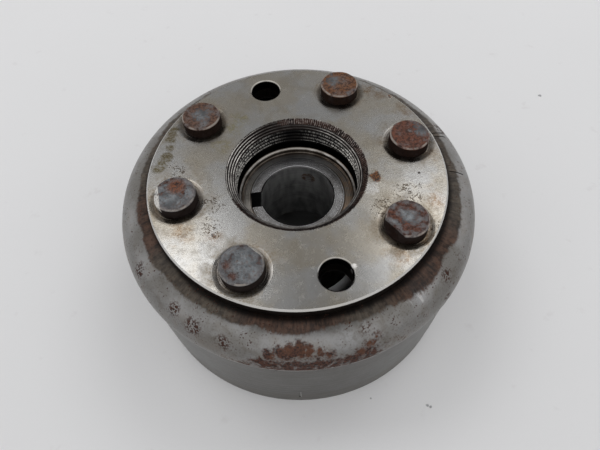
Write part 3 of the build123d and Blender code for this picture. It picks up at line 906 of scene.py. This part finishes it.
def make_mouth(finish):
    """The thread's bevelled mouth: torn into radial ridges, with the last turns left of the centre."""
    count, rows = 1440, 21
    top_r, low_r = MOUTH_R, THREAD_CREST_R + 0.06
    proud = 0.02  # how far the piece stands off the hub's own bevel
    loops = [[] for _ in range(rows + 2)]
    for i in range(count):
        angle = 2 * math.pi * i / count
        c, s = math.cos(angle), math.sin(angle)
        turns = threaded_share(angle)
        strength = 0.55 + 0.45 * rough_at(14 * c, 14 * s, 0, 9.0, 1)
        phase = RIDGES * angle + 2.6 * rough_at(14 * c, 14 * s, 0, 2.2, 2)
        ridge = 0.5 + 0.5 * math.sin(phase)
        ridge *= 0.55 + 0.45 * rough_at(14 * c, 14 * s, 0, 0.7, 3)
        for row in range(rows):
            t = row / (rows - 1)
            r = low_r + (top_r - low_r) * t
            z = FACE_Z - (MOUTH_R - r)
            outer = min(1.0, max(0.0, (t - 0.30) / 0.35))  # 1 on the part that is torn
            bite = RIDGE_DEPTH * strength * ridge * outer * (1 - 0.6 * turns)
            bite += 0.05 * rough_at(r * c, r * s, z, 0.45, 4)
            turn = 0.5 + 0.5 * math.sin(2 * math.pi * r / TURN_STEP - angle)
            if row == rows - 1:
                point = (r + 0.9 * bite, FACE_Z + 0.012)
            else:
                lift = 0.45 * bite + TURN_DEPTH * max(turns, 0.8 * (1 - outer)) * turn
                point = (r - proud - lift, z + proud + lift)
            loops[row].append((point[0] * c / MM, point[0] * s / MM, point[1] / MM))
        loops[rows].append(((top_r + 0.15) * c / MM, (top_r + 0.15) * s / MM, (FACE_Z - 0.25) / MM))
        loops[rows + 1].append(((low_r + 0.2) * c / MM, (low_r + 0.2) * s / MM, (FACE_Z - 2.1) / MM))
    dress(ring_mesh("mouth_edge", None, loops), finish)


def mouth_finish():
    """Torn steel full of brown grime, and the last turns of the thread with bright crests; the ridges and
    crests carry painted highlights and shade.
    """
    m = Finish("mouth_steel")
    mid = m.grain(2.4, 3.0, 0.6)
    fine = m.grain(0.40, 2.0)
    angle = m.math("ARCTAN2", m.y, m.x)
    ridges = m.math("SINE", m.plus(m.times(angle, RIDGES), m.times(mid, 9.0)))
    grime = m.mix(m.step(mid, 0.35, 0.65), (0.008, 0.006, 0.006), (0.050, 0.030, 0.024))
    grime = m.mix(m.times(m.step(fine, 0.50, 0.66), 0.5), grime, (0.10, 0.072, 0.060))
    rubbed_sheen = m.step(m.plus(ridges, m.times(fine, 4.0)), 2.2, 3.4)
    # painted highlight on the rubbed ridges, strongest facing 50 degrees
    lit = m.blend(m.facing(50.0, 0.5, 0.95), 0.10, 0.65)
    colour = m.mix(m.times(rubbed_sheen, lit), grime, (0.34, 0.30, 0.28))
    phase = m.math("SUBTRACT", m.times(m.radius, 2 * math.pi / TURN_STEP), angle)
    crest = m.step(m.plus(m.math("SINE", phase), m.times(fine, 1.2)), 0.35, 1.25)
    patchy = m.blend(m.step(mid, 0.35, 0.60), 0.35, 1.0)
    # the crests' brightness is a painted highlight, weaker facing 28 degrees
    patchy = m.times(patchy, m.blend(m.facing(28.0, 0.4, 0.9), 1.0, 0.6))
    turned = m.mix(m.times(crest, patchy), (0.022, 0.018, 0.017), (0.42, 0.40, 0.375))
    here = m.most(m.facing(THREADED_TO, 0.30, 0.90), m.step(m.radius, MOUTH_R - 0.75, MOUTH_R - 1.15))
    here = m.plus(here, m.times(m.math("SUBTRACT", fine, 0.5), 0.9))
    # painted shade darkens the crests at the back and at the front
    dim = m.times(m.facing(95.0, 0.75, 0.97), 0.85)
    turned = m.mix(m.most(dim, m.times(m.facing(-90.0, 0.0, 0.5), 0.5)), turned, (0.018, 0.014, 0.013))
    colour = m.mix(m.step(here, 0.35, 0.65), colour, turned)
    edge = m.step(m.radius, MOUTH_R - 0.25, MOUTH_R)
    colour = m.mix(m.times(edge, m.step(fine, 0.45, 0.62), 0.4), colour, (0.42, 0.40, 0.37))
    rough = m.blend(m.most(rubbed_sheen, crest), 0.48, 0.34)
    return m.finish(colour, rough, 0.95, m.times(fine, 0.04), 0.2)


def make_spotface(number, finish):
    """The cutter's chatter on the floor of a rivet's spotface, and its worn, sloping wall."""
    x0, y0 = RIVET_PLACES[number - 1]
    count, rows = 180, 14
    low_r, high_r, wall_r = 4.15, SPOTFACE_R + 0.25, SPOTFACE_R - 1.0
    loops = [[] for _ in range(rows + 2)]
    for i in range(count):
        angle = 2 * math.pi * i / count
        c, s = math.cos(angle), math.sin(angle)
        strength = 0.5 + 0.5 * rough_at(5 * c, 5 * s, 0, 4.0, number + 20)
        wall_here = wall_r + 0.2 * rough_at(5 * c, 5 * s, 0, 3.0, number + 30)
        for row in range(rows):
            r = low_r + (high_r - low_r) * row / (rows - 1)
            ridge = 0.5 + 0.5 * math.sin(2 * math.pi * r / CHATTER_STEP + angle)
            z = WORN_FLOOR + CHATTER_DEPTH * strength * ridge
            t = min(1.0, max(0.0, (r - wall_here) / (high_r - wall_here)))
            z += (FACE_Z + 0.003 - z) * t * t * (3 - 2 * t)
            loops[row].append(((x0 + r * c) / MM, (y0 + r * s) / MM, z / MM))
        for row, r in ((rows, high_r), (rows + 1, low_r)):
            loops[row].append(((x0 + r * c) / MM, (y0 + r * s) / MM, (SPOTFACE_Z - 0.1) / MM))
    dress(ring_mesh(f"spotface_{number}", None, loops), finish)


def make_floor():
    """A plain pale sheet under the flywheel."""
    bpy.ops.mesh.primitive_circle_add(vertices=96, radius=FLOOR_R, fill_type="NGON")
    floor = bpy.context.object
    floor.name = "floor"
    floor.data.materials.append(paper_finish())


def make_panel(name, across, along, glow):
    """A soft light panel level above the object. Its edges are given as x and y, and glow is its
    radiance."""
    light = bpy.data.lights.new(name, "AREA")
    light.shape = "RECTANGLE"
    light.size = across[1] - across[0]
    light.size_y = along[1] - along[0]
    light.energy = glow * math.pi * light.size * light.size_y
    panel = bpy.data.objects.new(name, light)
    scene.collection.objects.link(panel)
    panel.location = (sum(across) / 2, sum(along) / 2, PANEL_HEIGHT)


def make_studio():
    """Pale walls and a darker ceiling, dimmest overhead and behind the object."""
    world = bpy.data.worlds.new("studio")
    scene.world = world
    world.use_nodes = True
    tree = world.node_tree
    background = tree.nodes["Background"]
    coordinates = tree.nodes.new("ShaderNodeTexCoord")
    split = tree.nodes.new("ShaderNodeSeparateXYZ")
    tree.links.new(coordinates.outputs["Generated"], split.inputs[0])

    sideways = tree.nodes.new("ShaderNodeMath")
    sideways.operation = "ABSOLUTE"
    tree.links.new(split.outputs["X"], sideways.inputs[0])

    def fall(value, start, end, low, high):
        """A smooth change from low to high as the value goes from start to end."""
        node = tree.nodes.new("ShaderNodeMapRange")
        node.interpolation_type = "SMOOTHSTEP"
        tree.links.new(value, node.inputs["Value"])
        for name, limit in zip(("From Min", "From Max", "To Min", "To Max"), (start, end, low, high)):
            node.inputs[name].default_value = limit
        return node.outputs[0]

    def product(first, second):
        node = tree.nodes.new("ShaderNodeMath")
        node.operation = "MULTIPLY"
        tree.links.new(first, node.inputs[0])
        tree.links.new(second, node.inputs[1])
        return node.outputs[0]

    # the parts of a direction: x to either side, y to the back, z up
    x, y, z = sideways.outputs[0], split.outputs["Y"], split.outputs["Z"]
    ceiling = product(fall(y, -0.35, 0.25, 0.84, 0.37), fall(z, 0.78, 0.97, 1.0, 0.32))
    ceiling = product(ceiling, fall(x, 0.04, 0.30, 0.96, 1.22))

    # walls low down, the ceiling above them
    strength = tree.nodes.new("ShaderNodeMix")
    tree.links.new(fall(z, 0.60, 0.44, 0.0, 1.0), strength.inputs[0])
    tree.links.new(ceiling, strength.inputs[2])
    strength.inputs[3].default_value = WALL_GLOW
    tree.links.new(strength.outputs[0], background.inputs["Strength"])
    background.inputs["Color"].default_value = (1.0, 1.0, 1.01, 1.0)


def make_camera():
    """Looks down on the flywheel from in front and a little to the left."""
    lens = bpy.data.cameras.new("camera")
    lens.lens = LENS
    lens.sensor_width = 36.0
    lens.clip_start = 0.005
    camera = bpy.data.objects.new("camera", lens)
    scene.collection.objects.link(camera)
    camera.location = CAMERA_PLACE
    camera.rotation_mode = "QUATERNION"
    look = (Vector(CAMERA_AIM) - Vector(CAMERA_PLACE)).to_track_quat("-Z", "Y")
    camera.rotation_quaternion = look @ Quaternion((0, 0, 1), math.radians(CAMERA_ROLL))
    scene.camera = camera


scene.view_settings.view_transform = "Standard"
finish_nodes()
for number, name in enumerate(RIVETS, start=1):
    make_rivet(number, name)
    make_spotface(number, FINISHES["hub"])
make_mouth(mouth_finish())
make_floor()
make_studio()
for panel in PANELS:
    make_panel(*panel)
make_camera()
